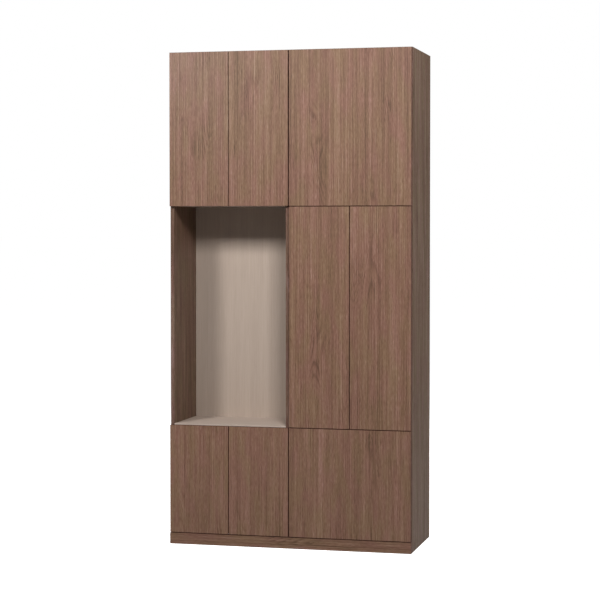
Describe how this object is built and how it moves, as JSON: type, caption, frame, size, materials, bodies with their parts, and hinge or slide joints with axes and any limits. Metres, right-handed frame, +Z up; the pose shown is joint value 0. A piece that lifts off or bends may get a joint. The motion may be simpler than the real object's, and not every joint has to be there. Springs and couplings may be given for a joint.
{
  "type": "modular wardrobe",
  "caption": "Tall handleless hall wardrobe of two joined units: hinged push-to-open doors over shelves and a coat rail, an open niche with a pale back, and a flush plinth.",
  "frame": {"origin": "on the floor, under the middle of the wardrobe", "axes": "+Z up, doors face -Y, +X to the right seen from the front"},
  "size_m": [1.2, 0.5, 2.4],
  "materials": {
    "walnut_fronts": "matt melamine with vertical walnut grain",
    "walnut_carcass": "matt melamine with walnut grain",
    "linen_board": "matt beige melamine",
    "rail_metal": "polished tube",
    "hinge_metal": "nickel-plated steel",
    "latch_housing": "moulded grey",
    "plunger": "moulded pale grey"
  },
  "bodies": {
    "carcass": {"left_unit_outer_side": "walnut_carcass", "left_unit_inner_side": "walnut_carcass", "left_unit_top": "linen_board", "left_unit_bottom": "linen_board", "left_unit_back": "linen_board", "niche_ceiling": "linen_board", "niche_floor": "linen_board", "niche_back": "linen_board", "right_unit_inner_side": "walnut_carcass", "right_unit_outer_side": "walnut_carcass", "right_unit_top": "linen_board", "right_unit_bottom": "linen_board", "right_unit_back": "linen_board", "right_unit_upper_deck": "linen_board", "right_unit_lower_deck": "linen_board", "plinth_front": "walnut_carcass", "upper_left_shelf": "linen_board", "upper_right_shelf": "linen_board", "lower_right_shelf": "linen_board", "coat_rail": "rail_metal", "upper_left_bottom_hinge": "hinge_metal", "upper_left_top_hinge": "hinge_metal", "upper_left_latch": "latch_housing", "upper_middle_bottom_hinge": "hinge_metal", "upper_middle_top_hinge": "hinge_metal", "upper_middle_latch": "latch_housing", "upper_wide_bottom_hinge": "hinge_metal", "upper_wide_top_hinge": "hinge_metal", "upper_wide_latch": "latch_housing", "tall_left_bottom_hinge": "hinge_metal", "tall_left_top_hinge": "hinge_metal", "tall_left_latch": "latch_housing", "tall_right_bottom_hinge": "hinge_metal", "tall_right_top_hinge": "hinge_metal", "tall_right_latch": "latch_housing", "lower_left_bottom_hinge": "hinge_metal", "lower_left_top_hinge": "hinge_metal", "lower_left_latch": "latch_housing", "lower_middle_bottom_hinge": "hinge_metal", "lower_middle_top_hinge": "hinge_metal", "lower_middle_latch": "latch_housing", "lower_wide_bottom_hinge": "hinge_metal", "lower_wide_top_hinge": "hinge_metal", "lower_wide_latch": "latch_housing"},
    "upper_left_door": {"upper_left_door": "walnut_fronts"},
    "upper_middle_door": {"upper_middle_door": "walnut_fronts"},
    "upper_wide_door": {"upper_wide_door": "walnut_fronts"},
    "tall_left_door": {"tall_left_door": "walnut_fronts"},
    "tall_right_door": {"tall_right_door": "walnut_fronts"},
    "lower_left_door": {"lower_left_door": "walnut_fronts"},
    "lower_middle_door": {"lower_middle_door": "walnut_fronts"},
    "lower_wide_door": {"lower_wide_door": "walnut_fronts"},
    "upper_left_plunger": {"upper_left_plunger": "plunger"},
    "upper_middle_plunger": {"upper_middle_plunger": "plunger"},
    "upper_wide_plunger": {"upper_wide_plunger": "plunger"},
    "tall_left_plunger": {"tall_left_plunger": "plunger"},
    "tall_right_plunger": {"tall_right_plunger": "plunger"},
    "lower_left_plunger": {"lower_left_plunger": "plunger"},
    "lower_middle_plunger": {"lower_middle_plunger": "plunger"},
    "lower_wide_plunger": {"lower_wide_plunger": "plunger"}
  },
  "joints": [
    {"name": "upper_left_door_hinge", "type": "hinge", "parent": "carcass", "child": "upper_left_door", "pos_m": [-0.591, -0.242, 2.02475], "axis": [0, 0, -1], "range_deg": [0, 105]},
    {"name": "upper_middle_door_hinge", "type": "hinge", "parent": "carcass", "child": "upper_middle_door", "pos_m": [-0.00915, -0.242, 2.02475], "axis": [0, 0, 1], "range_deg": [0, 105]},
    {"name": "upper_wide_door_hinge", "type": "hinge", "parent": "carcass", "child": "upper_wide_door", "pos_m": [0.591, -0.242, 2.02475], "axis": [0, 0, 1], "range_deg": [0, 105]},
    {"name": "tall_left_door_hinge", "type": "hinge", "parent": "carcass", "child": "tall_left_door", "pos_m": [0.00915, -0.242, 1.1175], "axis": [0, 0, -1], "range_deg": [0, 105]},
    {"name": "tall_right_door_hinge", "type": "hinge", "parent": "carcass", "child": "tall_right_door", "pos_m": [0.591, -0.242, 1.1175], "axis": [0, 0, 1], "range_deg": [0, 105]},
    {"name": "lower_left_door_hinge", "type": "hinge", "parent": "carcass", "child": "lower_left_door", "pos_m": [-0.591, -0.242, 0.32075], "axis": [0, 0, -1], "range_deg": [0, 105]},
    {"name": "lower_middle_door_hinge", "type": "hinge", "parent": "carcass", "child": "lower_middle_door", "pos_m": [-0.00915, -0.242, 0.32075], "axis": [0, 0, 1], "range_deg": [0, 105]},
    {"name": "lower_wide_door_hinge", "type": "hinge", "parent": "carcass", "child": "lower_wide_door", "pos_m": [0.591, -0.242, 0.32075], "axis": [0, 0, 1], "range_deg": [0, 105]},
    {"name": "upper_left_plunger_slide", "type": "slide", "parent": "carcass", "child": "upper_left_plunger", "axis": [0, -1, 0], "range_m": [0, 0.0141]},
    {"name": "upper_middle_plunger_slide", "type": "slide", "parent": "carcass", "child": "upper_middle_plunger", "axis": [0, -1, 0], "range_m": [0, 0.0141]},
    {"name": "upper_wide_plunger_slide", "type": "slide", "parent": "carcass", "child": "upper_wide_plunger", "axis": [0, -1, 0], "range_m": [0, 0.0141]},
    {"name": "tall_left_plunger_slide", "type": "slide", "parent": "carcass", "child": "tall_left_plunger", "axis": [0, -1, 0], "range_m": [0, 0.0141]},
    {"name": "tall_right_plunger_slide", "type": "slide", "parent": "carcass", "child": "tall_right_plunger", "axis": [0, -1, 0], "range_m": [0, 0.0141]},
    {"name": "lower_left_plunger_slide", "type": "slide", "parent": "carcass", "child": "lower_left_plunger", "axis": [0, -1, 0], "range_m": [0, 0.0141]},
    {"name": "lower_middle_plunger_slide", "type": "slide", "parent": "carcass", "child": "lower_middle_plunger", "axis": [0, -1, 0], "range_m": [0, 0.0141]},
    {"name": "lower_wide_plunger_slide", "type": "slide", "parent": "carcass", "child": "lower_wide_plunger", "axis": [0, -1, 0], "range_m": [0, 0.0141]}
  ],
  "couplings": [
    {"joint": "upper_left_plunger_slide", "follows": "upper_left_door_hinge", "m_per_rad": 0.007639},
    {"joint": "upper_middle_plunger_slide", "follows": "upper_middle_door_hinge", "m_per_rad": 0.007639},
    {"joint": "upper_wide_plunger_slide", "follows": "upper_wide_door_hinge", "m_per_rad": 0.007639},
    {"joint": "tall_left_plunger_slide", "follows": "tall_left_door_hinge", "m_per_rad": 0.007639},
    {"joint": "tall_right_plunger_slide", "follows": "tall_right_door_hinge", "m_per_rad": 0.007639},
    {"joint": "lower_left_plunger_slide", "follows": "lower_left_door_hinge", "m_per_rad": 0.007639},
    {"joint": "lower_middle_plunger_slide", "follows": "lower_middle_door_hinge", "m_per_rad": 0.007639},
    {"joint": "lower_wide_plunger_slide", "follows": "lower_wide_door_hinge", "m_per_rad": 0.007639}
  ]
}
